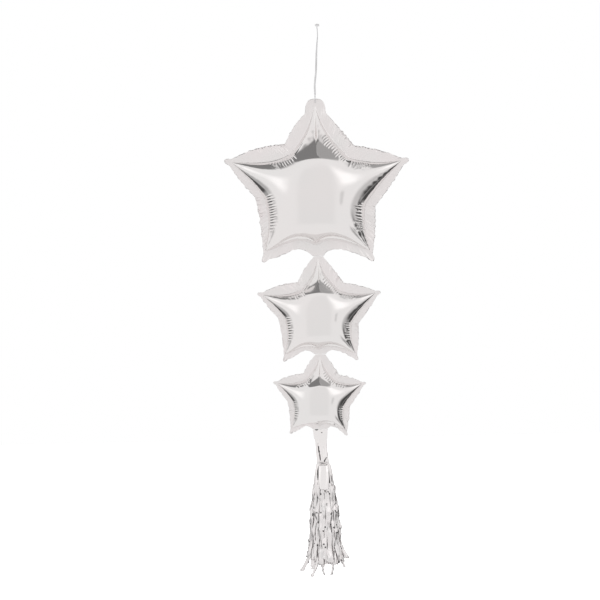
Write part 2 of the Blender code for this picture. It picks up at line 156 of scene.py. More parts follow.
# Rings of the full film, and the heights, in arm lengths, over which a star comes to hang aside
ROUNDNESS = 0.86
RINGS = 38
RING_POWER = 1.7
STAR_POWER = 1.5
CORE_RADIUS = 0.5
ASIDE_FROM, ASIDE_TO = 0.35, 0.95
# Membrane's sources: their step and distance outside the seam, tests for each, places at a time
SOURCE_STEP = 0.005
SOURCE_OFFSET = 1.7
TESTS_PER_SOURCE = 3.0
BLOCK = 4000

# Flat rim: rows, share of it that curls, and its waves
RIM_ROWS = 10
CURLED_SHARE = 0.2
EDGE_CURL = (0.0012, 9, 30.0, 60.0)
BROAD_RIPPLE = (0.0016, 7, 3.0, 9.0)
TIGHT_RIPPLE = (0.0011, 9, 14.0, 34.0)

# Sharp pleats, with the shares of the edge, of the pleated part and of the reach where they end
PLEAT_PITCH = 0.0061
PLEAT_DEPTH = 0.0044
PLEAT_REACH = 0.023
REACH_SPREAD = (0.22, 3, 30.0, 80.0)
PLEAT_DRIFT = (0.2, 3, 8.0, 20.0)
PLEAT_SHARPNESS = 0.75
PLEAT_MEAN = 0.6
PLEATS_START = 0.03
PLEATS_FADE = 0.85
PLEAT_RISE = 0.003
PLEAT_FULL_TO = 0.5
FILM_LEAST_HEIGHT = 0.004
# Loose folds all along the seam, with distances from it and the share of an edge where they end
LOOSE_FOLDS = (0.00022, 5, 30.0, 80.0)
LOOSE_RISE, LOOSE_FALL, LOOSE_REACH = 0.003, 0.004, 0.024
LOOSE_ENDS = 0.12
PLEAT_LINE_POINTS = 25

# Fold at the top arm's foot, in arm lengths, with the share of the height that it keeps
FOLD_START, FOLD_END = 0.305, 0.509
FOLD_SLOPE, FOLD_SAG = 0.81, 0.75
FOLD_LEAST, FOLD_ROUNDING, FOLD_REACH = 0.03, 0.07, 0.24
FOLD_KEEP = 0.79
# Crease up the top arm's middle, with its depth as a share of the height
CREASE_WIDTH, CREASE_SHARE = 0.008, 0.22
CREASE_FROM, CREASE_TO = FOLD_END - 0.04, FOLD_END + 0.06

# Foils, with noise as scale, detail, roughness and distortion, and bumps as strength and height
Foil = namedtuple("Foil", "tint shades smears gloss slack bump")
TAUT = ((14.0, 4.0), (0.05, 0.13), (22.0, 2.0, 0.4, 0.4), (0.12, 0.004))
FOILS = {
    "silver_film": Foil((9.0, 2.0), ((0.9, 0.875, 0.87), (0.88, 0.87, 0.865)), *TAUT),
    # The same film painted lighter: painted light standing in for the brighter studio that the
    # tassel's straps mirror
    "bright_film": Foil((9.0, 2.0), ((0.99, 0.965, 0.965), (0.97, 0.955, 0.95)), *TAUT),
    "sealed_film": Foil(
        (16.0, 3.0), ((0.93, 0.89, 0.89), (0.9, 0.885, 0.88)),
        (30.0, 4.0), (0.24, 0.42), (120.0, 3.0, 0.6, 1.0), (0.35, 0.0016),
    ),
    "tassel_foil": Foil(
        (60.0, 2.0), ((0.93, 0.9, 0.9), (0.84, 0.83, 0.83)),
        (90.0, 3.0), (0.1, 0.28), (140.0, 2.0, 0.5, 1.0), (0.22, 0.0012),
    ),
}
# Where a tint's noise turns from one colour to the other, and where that of the painted shade in
# tight creases starts to
TINT_FROM, TINT_TO = 0.3, 0.7
SHADOW_FROM = 0.35

# Ribbon, its turn in degrees, and its route, from the upper knot to the tie, as in the model
RIBBON_WIDTH = 0.0044
RIBBON_FILM = 0.0004
RIBBON_POINTS = 40
RIBBON_STUB = 0.003
RIBBON_TOP_Z = -0.0063
RIBBON_START, RIBBON_TURN = 62.0, -75.0
RIBBON_WAVE, RIBBON_WAVE_RATE = 22.0, 7.0
RIBBON_CURL = 0.0007
CURL_MEAN = 0.4
RIBBON_SECTION = (-1.0, -0.6, -0.2, 0.2, 0.6, 1.0)
RIBBON_ROUTE = (
    (0.0006, 0.0, -0.016),
    (0.0008, 0.0, -0.03),
    (-0.001, 0.0, -0.048),
    (-0.0028, 0.0, -0.072),
    (-0.004, 0.0, -0.096),
    (-0.0052, 0.0, -0.116),
    (-0.0078, 0.0, -0.138),
    (-0.0086, 0.0, -0.152),
)
# Knot above the tab, and the ribbon wound round it
KNOT_SIDES, KNOT_LEVELS = 20, 18
KNOT_END, KNOT_SWELL, KNOT_FLATNESS = 0.0008, 0.0013, 0.9
KNOT_WOUND, KNOT_TURNS = 0.00022, 1.5

# Tassel's bundle, from its head to the tips: height, radius, how far to the right it hangs
TASSEL_PROFILE = (
    (-1.05, 0.013, 0.0),
    (-1.056, 0.019, 0.0015),
    (-1.072, 0.0225, 0.002),
    (-1.1, 0.0265, 0.0025),
    (-1.14, 0.0305, 0.003),
    (-1.166, 0.036, 0.0035),
    (-1.23, 0.0385, 0.003),
    (-1.26, 0.041, 0.0035),
    (-1.321, 0.043, 0.003),
)
TASSEL_TOP = TASSEL_PROFILE[0][0]

# Layers of strips: seed, number of strips, share of the bundle's radius, height where they start,
# lowest and highest tip
STRIP_LAYERS = (
    ("inner", 516, 10, 0.36, -1.1, -1.302, -1.286),
    ("middle", 517, 17, 0.87, -1.092, -1.3, -1.28),
    ("outer", 518, 22, 0.97, -1.098, -1.296, -1.276),
)
# Strips, and how their places, radii and widths vary
STRIP_WIDTH = 0.0122
STRIP_FILM = 0.00015
STRIP_STEP = 0.0036
STRIP_SECTION = (-1.0, -0.5, 0.0, 0.5, 1.0)
STRIP_PLACES = (-0.22, 0.22)
STRIP_RADII = (0.95, 1.03)
STRIP_WIDTHS = (0.85, 1.25)
# How a strip hangs, with drift and twist in radians
STRIP_DRIFT, STRIP_TWIST = 0.05, 0.5
OUT_WAVES = (0.0013, 4, 6.0, 26.0)
ROUND_WAVES = (0.16, 4, 5.0, 22.0)
TUCKED, LET_OUT, TUCK_LENGTH = 0.8, 0.2, 0.012
FLARE, FLARE_FROM = 0.004, 0.8
# Its section, with a groove along it, and how far its edges bend back
GROOVE_PLACES = (-0.5, 0.5)
GROOVE_HEIGHT, GROOVE_HALF = 0.0009, 0.5
STRIP_CURVES = (0.0004, 0.0016)
# Its kinks, with half their length in steps, and its crumpled cut end
KINKS = 5
KINK_PLACES = (0.1, 0.95)
KINK_HEIGHTS = (0.0006, 0.002)
KINK_HALF = 1.1
# How near a kink, in steps, a face may get painted shade standing in for the kink's shade, and the
# share of those faces that do
DARK_WITHIN, DARK_SHARE = 0.75, 0.6
CUT_END, CUT_WIDENING = 0.011, 0.12
ROUGH_FILM, ROUGH_CUT = 0.0001, 0.00075

# Strips whose ends stray from the bundle: azimuth from the front in degrees, where the straying
# starts, height of the tip, how far sideways the tip strays, and width
STRAY_STRIPS = (
    (-72.0, -1.262, -1.3105, -0.0175, 0.009),
    (-28.0, -1.28, -1.3185, -0.0105, 0.007),
    (-12.0, -1.283, -1.315, 0.0075, 0.005),
    (30.0, -1.282, -1.3165, -0.007, 0.0055),
    (76.0, -1.25, -1.282, 0.01, 0.01),
    (128.0, -1.262, -1.308, 0.012, 0.007),
    (-150.0, -1.27, -1.314, -0.01, 0.007),
)
STRAY_RADIUS, STRAY_START_Z = 0.93, -1.19
STRAY_FACING, STRAY_POWER = 0.3, 1.4
# A thin strand at the left: places to the side of the column, heights, and half its width
STRAND = (
    (-0.0385, -1.2327),
    (-0.043, -1.242),
    (-0.047, -1.2484),
    (-0.052, -1.2492),
    (-0.0585, -1.2475),
)
STRAND_Y, STRAND_HALF, STRAND_UP = -0.012, 0.0012, 0.0003

# Tail strap: share of its length, half width, and how far it hangs to the side of the column
TAIL_SHAPE = (
    (0.0, 0.018, -0.0038),
    (0.08, 0.0172, -0.0036),
    (0.2, 0.016, -0.0034),
    (0.36, 0.0144, -0.0028),
    (0.6, 0.0144, -0.002),
    (0.85, 0.0148, 0.0002),
    (1.0, 0.015, 0.001),
)
TAIL_ROWS, TAIL_COLUMNS = 60, 22
TAIL_TUCK = 0.006
# Its long folds: place across, how far that moves by the bottom, half width and height; then
# their depth, mean, and the shares of the length over which they grow
TAIL_FOLDS = ((-0.58, 0.26, 0.2, 1.0), (0.92, -0.62, 0.34, 0.7))
TAIL_FOLD_DEPTH = 0.0034
TAIL_FOLD_MEAN = 0.35
TAIL_FOLDS_GROW = (0.15, 0.6)
# Its slack: weight, rates across and along and phase of waves, their height, where they are full
TAIL_SLACK = ((0.5, 4.1, 3.0, 0.0), (0.3, 9.0, -5.0, 1.0))
TAIL_SLACK_HEIGHT, TAIL_SLACK_TO = 0.0007, 0.15
# The fold across its top: height, place and half length, and its rate and phase across
TOP_FOLD = (0.0011, 0.035, 0.03)
TOP_FOLD_RATE, TOP_FOLD_PHASE = 3.2, 0.4
# Its right edge, turned back: height, where across it starts, and the shares where it grows
TURNED_HEIGHT, TURNED_FROM, TURNED_GROWS = 0.0022, 0.7, (0.22, 0.45)
# The strap's faces with painted shade, standing in for the shade of its tight creases, as row and
# column of its mesh
SHADE_BAND_ROW = 48
TAIL_SHADED_FACES = (
    *((0, column) for column in range(3, 8)),
    *((1, column) for column in range(4, 7)),
    (5, 12), (5, 13), (6, 13),
    *((row, 5) for row in range(29, 40)),
    *((row, 6) for row in range(35, 46)),
    *((row, 7) for row in range(44, 54)),
    *((row, 18 - (row - SHADE_BAND_ROW) * 3 // 5) for row in range(48, 58)),
    *((row, 17 - (row - SHADE_BAND_ROW) * 3 // 5) for row in range(49, 58)),
    *((row, 16 - (row - SHADE_BAND_ROW) * 3 // 5) for row in range(52, 57, 2)),
)

# The head's deep folds: azimuth from the front in degrees, half width, and the shares of the head's
# height between which the fold is tight and its faces get painted shade, standing in for its shade
HEAD_FOLDS = (
    (-45, 7.0, 0.14, 0.62),
    (-27, 3.5, 0.14, 0.58),
    (36, 3.5, 0.34, 0.9),
    (58, 5.0, 0.48, 0.74),
    (74, 4.0, 0.62, 0.84),
    (112, 4.0, 0.1, 0.6),
    (150, 4.0, 0.3, 0.9),
    (-158, 4.0, 0.15, 0.55),
    (-120, 5.0, 0.35, 0.85),
    (-86, 4.0, 0.45, 0.8),
)
HEAD_BOTTOM = -1.118
HEAD_SIDES, HEAD_LEVELS = 180, 30
HEAD_RADIUS = 0.93
HEAD_FOLD_DEPTH, HEAD_FOLD_SPREAD = 0.13, 2.2
HEAD_LOBES, HEAD_LOBE_HEIGHT, HEAD_LOBE_TWIST = 5, 0.022, 5.0
# How wide a fold's painted shade is, at its ends and more at its middle, as shares of its half
# width
DARK_LEAST, DARK_MORE = 0.35, 0.65
# Strap over the head, rounded at its top, with the shares of width and reach that it has there
STRAP_TOP, STRAP_BOTTOM = -1.054, -1.113
STRAP_ROWS, STRAP_COLUMNS = 30, 12
STRAP_HALF, STRAP_WAVE, STRAP_WAVE_RATE = 0.0118, 0.0006, 5.0
STRAP_ROUNDED = 0.1
STRAP_END_WIDTH, STRAP_END_REACH = 0.62, 0.72
STRAP_STAND_OFF, STRAP_CLEARANCE = 1.04, 0.001
STRAP_SAG = 0.0022
STRAP_RIPPLE, RIPPLE_ACROSS, RIPPLE_ALONG = 0.0003, 7.0, 5.0

# What the film mirrors: brightness of the room and of what comes by way of other film, and tint;
# then patches: azimuth from the camera and elevation in degrees, softness, and brightness
ROOM_LEVEL = 0.88
SECOND_MIRROR = 0.84
SECOND_BOUNCE = 2.5
ROOM_TINT = (1.0, 0.985, 0.98, 1.0)
ROOM = (
    (-24, 24, -54, 40, 5, 0.83),
    (31, 52, 12, 40, 7, 1.15),
    (-58, -40, 4, 28, 8, 1.12),
    (32, 37, -14, 2, 3, 0.66),
    (-180, 20, 58, 90, 4, 0.22),
    (20, 180, 58, 90, 5, 0.38),
    (66, 86, -14, 6, 6, 0.56),
    (60, 100, -22, -12, 5, 0.55),
    (66, 104, -38, -18, 4, 0.07),
    (88, 112, -16, 4, 4, 0.1),
    (50, 68, -52, -38, 4, 0.4),
    (104, 150, -52, -12, 6, 0.07),
    (-162, -100, -50, -16, 6, 0.08),
    (-102, -80, -44, -10, 8, 0.46),
    (-160, -104, -18, -4, 5, 0.36),
    (150, 178, 22, 50, 6, 0.24),
    (118, 172, 47, 64, 4, 0.08),
    (-146, -116, 46, 62, 4, 0.1),
)


# Numbers


def smooth_step(low, high, value):
    share = np.clip((value - low) / (high - low), 0.0, 1.0)
    return share * share * (3.0 - 2.0 * share)


def wavy(along, seed, height, count, low, high):
    """Sines with frequencies from low to high, which stand in for smooth noise of a height."""
    draw = np.random.default_rng(seed)
    frequency = draw.uniform(low, high, count)
    phase = draw.uniform(0.0, 2 * pi, count)
    weight = draw.uniform(0.4, 1.0, count)
    weight /= sqrt(float(np.sum(weight**2)))
    value = np.zeros_like(along)
    for f, p, w in zip(frequency, phase, weight):
        value += w * np.sin(2 * pi * f * along + p)
    return height * value


def rounded_ramp(value, rounding):
    """0 below 0 and 1 above 1, straight between them, with both corners rounded."""
    offsets = np.linspace(-rounding, rounding, 5)
    found = np.zeros_like(value)
    for offset in offsets:
        found += np.clip(value + offset, 0.0, 1.0)
    return found / len(offsets)


def tent(place, middle, half):
    """1 in the middle, falling straight to 0 at half to each side."""
    return max(0.0, 1.0 - abs(place - middle) / half)


def turned_from(azimuth, middle):
    """How far one direction is turned from another, in degrees."""
    return abs((azimuth - middle + 180.0) % 360.0 - 180.0)


def polar(degrees, radius):
    turn = radians(degrees)
    return np.array([radius * cos(turn), radius * sin(turn)])


# Star outlines, in the star's own plane and around its centre


def is_tip(number):
    return number % 2 == 0


def arm_factor(number, star):
    if number in SIDE_TIPS:
        return star.side_arm
    return star.lower_arm if number in LOWER_TIPS else 1.0


def corner_lean(number, star):
    if number in (TOP_TIP, LOWER_NOTCH):
        return 0.0
    return star.lower_lean if number in LOWER_TIPS else star.lean


def from_start(number, share):
    """A share of an edge measured from its tip, as measured from its start."""
    return share if is_tip(number) else 1.0 - share


def left_of(start, end):
    run = end - start
    return np.array([-run[1], run[0]]) / np.linalg.norm(run)


def bowed(start, end, bow, deepest, share):
    """Places at share of the way from start to end, bowed to the left of the way by bow."""
    power = log(0.5) / log(deepest)
    bulge = np.sin(pi * share**power) * bow
    return start + share[:, None] * (end - start) + bulge[:, None] * left_of(start, end)


def edge_shares(length, pleated, size, notch_last):
    """Shares along an edge, close together where it is pleated and at its tip."""
    pleated_to = pleated * length * FINE_MARGIN
    tip_from = length - TIP_ZONE * size
    places = [0.0]
    while places[-1] < length:
        here = places[-1]
        step = FINE_STEP if here < pleated_to else TIP_STEP if here > tip_from else COARSE_STEP
        places.append(here + step * size**0.5)
    from_notch = np.array(places) / places[-1]
    shares = 1.0 - from_notch[::-1] if notch_last else from_notch
    return shares[:-1]


def seam_edges(star, top_reach):
    """The ten edges of the seam between the full film and its flat rim."""
    corners = []
    for number, (angle, reach, _, _) in enumerate(CORNERS):
        radius = star.arm * reach * arm_factor(number, star)
        if number == TOP_TIP:
            radius = min(radius, top_reach - NECK_LENGTH)
        corners.append(polar(angle + corner_lean(number, star), radius))
    edges = []
    for number, (bow, deepest, pleated, _, _) in enumerate(EDGES):
        start, end = corners[number], corners[(number + 1) % len(corners)]
        length = float(np.linalg.norm(end - start))
        shares = edge_shares(length, pleated, star.arm / LARGE_ARM, is_tip(number))
        deepest = from_start(number, deepest)
        edges.append(Edge(start, end, bow * star.arm, deepest, shares, pleated, length))
    return edges


def side_points(number, star, upper, lower):
    """A corner of the outer edge: its middle, its first side and its last side."""
    _, _, angle, reach = CORNERS[number]
    if number in (TOP_TIP, LOWER_NOTCH):
        reach, width, length = upper if number == TOP_TIP else lower
        middle = polar(angle, reach)
        across = polar(angle + 90.0, width / 2)
        down = polar(angle, -length)
        return middle, middle + down - across, middle + down + across
    angle += corner_lean(number, star)
    centre = polar(angle, reach * (star.arm * arm_factor(number, star)))
    if not is_tip(number):
        return centre, centre, centre
    lobe = TIP_LOBE * star.arm
    across = polar(angle + 90.0, lobe)
    back = polar(angle, -lobe * LOBE_LENGTH)
    return centre + polar(angle, lobe), centre + back - across, centre + back + across


def rim_line(edges, star, upper, lower):
    """The film's outer edge, with as many points as the seam has."""
    corners = [side_points(number, star, upper, lower) for number in range(len(CORNERS))]
    parts = []
    for number, edge in enumerate(edges):
        _, _, _, bow, deepest = EDGES[number]
        start_middle, _, start = corners[number]
        end_middle, end, _ = corners[(number + 1) % len(corners)]
        turn = (TIP_ZONE * star.arm / LARGE_ARM) / edge.length
        first = turn if number == LOWER_NOTCH or is_tip(number) else 0.0
        last = turn if number == LOWER_NOTCH - 1 or not is_tip(number) else 0.0
        share = np.clip((edge.shares - first) / (1.0 - first - last), 0.0, 1.0)
        line = bowed(start, end, -bow * star.arm, from_start(number, deepest), share)
        scallop = wavy(edge.shares * edge.length, star.rim_seed + number, *SCALLOPS)
        scallop = scallop * np.sin(pi * share)
        line = line + scallop[:, None] * left_of(start, end)
        ends = (
            (first, edge.shares, start_middle, start, number == TOP_TIP),
            (last, 1.0 - edge.shares, end_middle, end, number == len(EDGES) - 1),
        )
        for turn, share, middle, side, is_tab in ends:
            if turn > 0.0:
                square = TAB_SQUARENESS if is_tab else 1.0
                line = swung(line, share / turn, middle, side, square)
        parts.append(line)
    return np.concatenate(parts)


def swung(line, share, middle, side, square):
    """Bends the line's end round from the side of a tip to its middle where share is under 1."""
    inside = share < 1.0
    turn = np.clip(share[inside], 0.0, 1.0) * pi / 2
    outward = middle / np.linalg.norm(middle)
    along = float((middle - side) @ outward) * outward
    across = (side - middle) + along
    fall = 1.0 - np.cos(turn) ** square
    reach = np.sin(turn) ** square
    line = line.copy()
    line[inside] = middle - along * fall[:, None] + across * reach[:, None]
    return line


# Star surface


def closed_line(line):
    """A closed line with its first point again at its end, and how far along it each point is."""
    closed = np.vstack([line, line[:1]])
    lengths = np.linalg.norm(np.diff(closed, axis=0), axis=1)
    return closed, np.concatenate([[0.0], np.cumsum(lengths)])


def points_along(closed, place, at):
    return np.column_stack([np.interp(at, place, closed[:, axis]) for axis in (0, 1)])


def softened(line, width):
    """A closed line with its corners rounded, by averaging over width to each side of a point."""
    closed, place = closed_line(line)
    result = np.zeros_like(line)
    for offset in np.linspace(-width, width, SOFTENING_SAMPLES):
        result += points_along(closed, place, (place[:-1] + offset) % place[-1])
    return result / SOFTENING_SAMPLES


def spaced(line, step):
    """Points at even steps along a closed line, with the outward direction at each."""
    closed, place = closed_line(line)
    at = np.linspace(0.0, place[-1], int(place[-1] / step), endpoint=False)
    points = points_along(closed, place, at)
    run = np.roll(points, -1, axis=0) - np.roll(points, 1, axis=0)
    run /= np.linalg.norm(run, axis=1)[:, None]
    return points, np.column_stack([run[:, 1], -run[:, 0]])


def fullness(seam, size):
    """How full of gas the film is at a place, as of a membrane under even pressure.

    Its equation is solved with sources around the seam. Long arms come out round, wide bodies flat.
    """
    sources, outward = spaced(seam, SOURCE_STEP * size)
    sources = sources + outward * SOURCE_STEP * SOURCE_OFFSET * size
    tests, _ = spaced(seam, SOURCE_STEP * size / TESTS_PER_SOURCE)

    def kernel(places):
        gaps = np.linalg.norm(places[:, None, :] - sources[None, :, :], axis=2)
        return np.hstack([np.log(gaps), np.ones((len(places), 1))])

    wanted = np.sum(tests**2, axis=1) / 4
    strength, *_ = np.linalg.lstsq(kernel(tests), wanted, rcond=1e-9)

    def value(places):
        found = np.zeros(len(places))
        for first in range(0, len(places), BLOCK):
            block = places[first : first + BLOCK]
            found[first : first + BLOCK] = kernel(block) @ strength - np.sum(block**2, axis=1) / 4
        return np.maximum(found, 0.0)

    return value


def nearest_on(places, line):
    """Distance from each place to a line of points, and how far along the line that is."""
    best = np.full(len(places), np.inf)
    along = np.zeros(len(places))
    offset = 0.0
    for start, end in zip(line[:-1], line[1:]):
        run = end - start
        length = float(np.linalg.norm(run))
        share = np.clip((places - start) @ run / (length * length), 0.0, 1.0)
        gap = np.linalg.norm(places - start - share[:, None] * run, axis=1)
        closer = gap < best
        best[closer] = gap[closer]
        along[closer] = offset + share[closer] * length
        offset += length
    return best, along


def pleats(edges, places, size, seed):
    """Sharp folds square to the seam beside the notches, and loose ones all along it."""
    height = np.zeros(len(places))
    for number, edge in enumerate(edges):
        length = edge.length
        line = bowed(*edge[:4], np.linspace(0.0, 1.0, PLEAT_LINE_POINTS))
        gap, along = nearest_on(places, line)
        loose = wavy(along, seed + 40 + number, *LOOSE_FOLDS)
        ends = smooth_step(0.0, LOOSE_ENDS, along / length)
        ends = ends * smooth_step(0.0, LOOSE_ENDS, 1.0 - along / length)
        near = 1.0 - smooth_step(LOOSE_FALL, LOOSE_REACH * size, gap)
        height += loose * size * (smooth_step(0.0, LOOSE_RISE, gap) * near) * ends
        if edge.pleated == 0.0:
            continue
        from_notch = length - along if is_tip(number) else along
        band = smooth_step(0.0, PLEATS_START, from_notch / length)
        fading = smooth_step(PLEATS_FADE * edge.pleated, edge.pleated, from_notch / length)
        band = band * (1.0 - fading)
        drift = wavy(along, seed + number, *PLEAT_DRIFT)
        phase = from_notch / (PLEAT_PITCH * size**0.2) + drift
        fold = np.abs(np.sin(pi * phase)) ** PLEAT_SHARPNESS
        reach = PLEAT_REACH * size * (1.0 + wavy(along, seed + 20 + number, *REACH_SPREAD))
        across = 1.0 - smooth_step(PLEAT_FULL_TO * reach, reach, gap)
        across = smooth_step(0.0, PLEAT_RISE * size, gap) * across
        height += (fold - PLEAT_MEAN) * PLEAT_DEPTH * size * band * across
    return height


def arm_fold(places, arm, drop):
    """Share of the height that is left where the top arm bends forward at its foot."""
    aside = np.abs(places[:, 0]) / arm
    up = places[:, 1] / arm + drop
    lower = FOLD_START - FOLD_SAG * aside**2
    upper = np.maximum(FOLD_END - FOLD_SLOPE * aside, lower + FOLD_LEAST)
    bent = rounded_ramp((up - lower) / (upper - lower), FOLD_ROUNDING)
    fade = np.clip(1.0 - (aside / FOLD_REACH) ** 2, 0.0, 1.0)
    crease = np.exp(-aside / CREASE_WIDTH) * smooth_step(CREASE_FROM, CREASE_TO, up)
    return 1.0 - (1.0 - FOLD_KEEP) * bent * fade - CREASE_SHARE * crease


def rim_ripple(flat, out, size, seed):
    """How far the sealed rim waves out of its plane, the same for both foils."""
    turn = np.arctan2(flat[:, 1], flat[:, 0])
    broad = wavy(turn, seed + 90, *BROAD_RIPPLE)
    tight = wavy(turn, seed + 91, *TIGHT_RIPPLE)
    curl = wavy(turn, seed + 92, *EDGE_CURL)
    edge = smooth_step(1.0 - CURLED_SHARE, 1.0, out)
    return out * size * (broad + tight) + edge * size * curl


def ring_faces(count, levels):
    """Faces between rings of count points each, with a fan from point 0 inside the first."""
    order = np.arange(count)
    following = (order + 1) % count
    faces = [(0, 1 + number, 1 + following[number]) for number in range(count)]
    for level in range(levels - 1):
        inner = 1 + level * count
        outer = inner + count
        corners = (inner + order, outer + order, outer + following, inner + following)
        faces += [tuple(row) for row in np.column_stack(corners).tolist()]
    return faces


def star_mesh(name, star, edges, rim, side):
    """One foil of a star, full inside its seam and flat outside, and the number of full faces."""
    size = star.arm / LARGE_ARM
    seam = np.concatenate([bowed(*edge[:5]) for edge in edges])
    seam = softened(seam, NOTCH_SOFTENING * size)
    count = len(seam)
    reach = np.linalg.norm(seam, axis=1)
    places = [np.zeros((1, 2))]
    for ring in 1.0 - (1.0 - np.linspace(0.0, 1.0, RINGS + 1)[1:]) ** RING_POWER:
        star_share = ring**STAR_POWER
        radius = ring * (star_share * reach + (1.0 - star_share) * CORE_RADIUS * star.arm)
        places.append(seam * (radius / reach)[:, None])
    places = np.concatenate(places)
    height = ROUNDNESS * np.sqrt(2.0 * fullness(seam, size)(places))
    height *= arm_fold(places, star.arm, star.fold_drop)
    folds = pleats(edges, places, size, star.film_seed)
    height += folds * smooth_step(0.0, FILM_LEAST_HEIGHT, height)
    height[-count:] = 0.0
    out = side * (SEAT + FILM + np.maximum(height, 0.0))
    rows = [np.column_stack([places[:, 0], out, places[:, 1]])]
    for row in range(1, RIM_ROWS + 1):
        share = row / RIM_ROWS
        flat = seam + (rim - seam) * share
        ripple = rim_ripple(flat, share, size, star.film_seed)
        rows.append(np.column_stack([flat[:, 0], side * (SEAT + FILM) + ripple, flat[:, 1]]))
    points = np.concatenate(rows)
    hangs = 1.0 - smooth_step(ASIDE_FROM * star.arm, ASIDE_TO * star.arm, points[:, 2])
    points[:, 0] += LINE_X + star.aside * hangs
    points[:, 2] += star.centre_z
    mesh = bpy.data.meshes.new(name)
    mesh.from_pydata(points.tolist(), [], ring_faces(count, RINGS + RIM_ROWS))
    if side > 0:
        mesh.flip_normals()
    mesh.shade_smooth()
    return mesh, RINGS * count


def still_near(mesh, side, place_z, reach):
    """Brings the rim back to its plane near a neck, so that the next star's film meets it."""
    seat = side * (SEAT + FILM)
    for vertex in mesh.vertices:
        gap = abs(vertex.co.z - place_z)
        if gap < reach and abs(vertex.co.x - LINE_X) < STILL_ASIDE:
            keep = smooth_step(0.0, reach, gap)
            vertex.co.y = seat + (vertex.co.y - seat) * keep


def punch_hole(mesh):
    """Opens the tab's round hole in the flat film and draws its cut edge onto the circle."""

    def gap_of(vertex):
        return hypot(vertex.co.x - LINE_X, vertex.co.z - HOLE_Z)

    edit = bmesh.new()
    edit.from_mesh(mesh)
    inside = {vertex for vertex in edit.verts if gap_of(vertex) < TAB_HOLE_RADIUS}
    cut = [face for face in edit.faces if all(vertex in inside for vertex in face.verts)]
    bmesh.ops.delete(edit, geom=cut, context="FACES")
    for vertex in edit.verts:
        gap = gap_of(vertex)
        if 0.0 < gap < TAB_HOLE_RADIUS:
            vertex.co.x = LINE_X + (vertex.co.x - LINE_X) * TAB_HOLE_RADIUS / gap
            vertex.co.z = HOLE_Z + (vertex.co.z - HOLE_Z) * TAB_HOLE_RADIUS / gap
    edit.to_mesh(mesh)
    edit.free()


# Materials


def feed(tree, node, inputs):
    """Sets a node's inputs, each to a value or to the output of another node."""
    for name, value in inputs.items():
        if isinstance(value, bpy.types.NodeSocket):
            tree.links.new(value, node.inputs[name])
        else:
            node.inputs[name].default_value = value
    return node


def add_node(tree, kind, **inputs):
    """A shader node with its inputs set, a blank in their names written as an underscore."""
    node = tree.nodes.new(f"ShaderNode{kind}")
    return feed(tree, node, {name.replace("_", " "): value for name, value in inputs.items()})


def new_material(name):
    """A material, its nodes and its shader."""
    material = bpy.data.materials.new(name)
    material.use_nodes = True
    tree = material.node_tree
    return material, tree, tree.nodes["Principled BSDF"]


def noise(tree, scale, detail, roughness=0.5, distortion=0.0):
    """Noise over the object's own metres."""
    place = add_node(tree, "TexCoord").outputs["Object"]
    sizes = {"Scale": scale, "Detail": detail, "Roughness": roughness, "Distortion": distortion}
    return add_node(tree, "TexNoise", Vector=place, **sizes).outputs["Fac"]


def tint(tree, source, first, last, start=TINT_FROM):
    """A colour that goes from first to last while source goes up from start."""
    node = add_node(tree, "ValToRGB", Fac=source)
    for element, position, colour in zip(node.color_ramp.elements, (start, TINT_TO), (first, last)):
        element.position = position
        element.color = (*colour, 1.0)
    return node.outputs["Color"]


def bump(tree, source, strength, distance):
    node = add_node(tree, "Bump", Height=source, Strength=strength, Distance=distance)
    return node.outputs["Normal"]


def make_foil(name):
    foil = FOILS[name]
    material, tree, shader = new_material(name)
    smears = {"Value": noise(tree, *foil.smears), "To_Min": foil.gloss[0], "To_Max": foil.gloss[1]}
    looks = {
        "Base Color": tint(tree, noise(tree, *foil.tint), *foil.shades),
        "Metallic": 1.0,
        "Roughness": add_node(tree, "MapRange", **smears).outputs["Result"],
        "Normal": bump(tree, noise(tree, *foil.slack), *foil.bump),
    }
    feed(tree, shader, looks)
    return material


def fold_shadow():
    """Painted shade: near-black foil for faces at tight creases and kinks, standing in for the
    shade where film is doubled over and little light gets in.
    """
    material, tree, shader = new_material("fold_shadow")
    dark, light = (0.02, 0.02, 0.02), (0.16, 0.155, 0.155)
    colour = tint(tree, noise(tree, 400.0, 2.0), dark, light, SHADOW_FROM)
    feed(tree, shader, {"Base Color": colour, "Metallic": 0.9, "Roughness": 0.45})
    return material


def ribbon_satin():
    """Satin ribbon with fine ribs across it."""
    material, tree, shader = new_material("ribbon_satin")
    colour = tint(tree, noise(tree, 70.0, 2.0), (0.50, 0.50, 0.51), (0.60, 0.60, 0.61))
    place = add_node(tree, "TexCoord").outputs["Object"]
    ribs = add_node(tree, "TexWave", Vector=place, Scale=900.0, Distortion=0.6)
    ribs.bands_direction = "Z"
    ribs.wave_profile = "SIN"
    normal = bump(tree, ribs.outputs["Fac"], 0.25, 0.0002)
    looks = {"Base Color": colour, "Metallic": 0.25, "Roughness": 0.38, "Normal": normal}
    feed(tree, shader, looks)
    return material


# Pieces


def even(count, low=0.0, high=1.0):
    """Values from low to high in a number of even steps."""
    return [low + (high - low) * step / count for step in range(count + 1)]


def placed(name, data):
    thing = bpy.data.objects.new(name, data)
    bpy.context.scene.collection.objects.link(thing)
    return thing


def add_piece(mesh, body, materials, replaced, thickness=0.0, offset=0.0):
    """Puts a mesh in a node's place, as film of a thickness where it is given one."""
    piece = placed(mesh.name, mesh)
    for material in materials:
        mesh.materials.append(material)
    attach(piece, body)
    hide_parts(replaced)
    if thickness:
        skin = piece.modifiers.new("film", "SOLIDIFY")
        skin.thickness = thickness
        skin.offset = offset
    return piece


